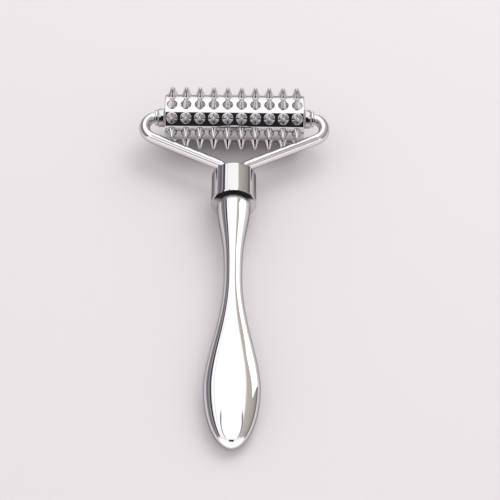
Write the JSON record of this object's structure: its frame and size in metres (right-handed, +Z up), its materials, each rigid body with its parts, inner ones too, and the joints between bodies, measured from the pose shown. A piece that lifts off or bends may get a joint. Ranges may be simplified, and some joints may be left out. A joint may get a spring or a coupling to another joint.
{
  "type": "derma roller",
  "caption": "Chrome hand roller: a spiked barrel spins on a two-armed wire fork, set in a round collar on a flattened drop-shaped handle.",
  "frame": {"origin": "on the surface that the roller rests on, under the middle of the whole object's box", "axes": "+X along the roller's axle, to the right when looking from the handle's tail to the roller; +Y from the handle's tail to the roller; +Z up"},
  "size_m": [0.054, 0.1198, 0.0181],
  "materials": {
    "handle_chrome": "mirror-polished bright chrome plate on a zinc casting",
    "collar_chrome": "mirror-polished bright chrome plate, turned",
    "wire_chrome": "bright chrome plate on round steel wire",
    "roller_chrome": "bright chrome plate on a zinc casting with cast spikes",
    "bush_chrome": "chrome-plated brass, bright",
    "plain_steel": "plain turned steel"
  },
  "bodies": {
    "handle_frame": {"handle": "handle_chrome", "handle_stud": "plain_steel", "collar": "collar_chrome", "left_arm": "wire_chrome", "right_arm": "wire_chrome", "left_stop_ring": "wire_chrome", "right_stop_ring": "wire_chrome"},
    "roller": {"roller_barrel": "roller_chrome", "left_end_plug": "roller_chrome", "right_end_plug": "roller_chrome", "left_bush": "bush_chrome", "right_bush": "bush_chrome"}
  },
  "joints": [
    {"name": "roller_spin", "type": "hinge", "parent": "handle_frame", "child": "roller", "pos_m": [0, 0.05067, 0.00903], "axis": [1, 0, 0], "continuous": true}
  ]
}
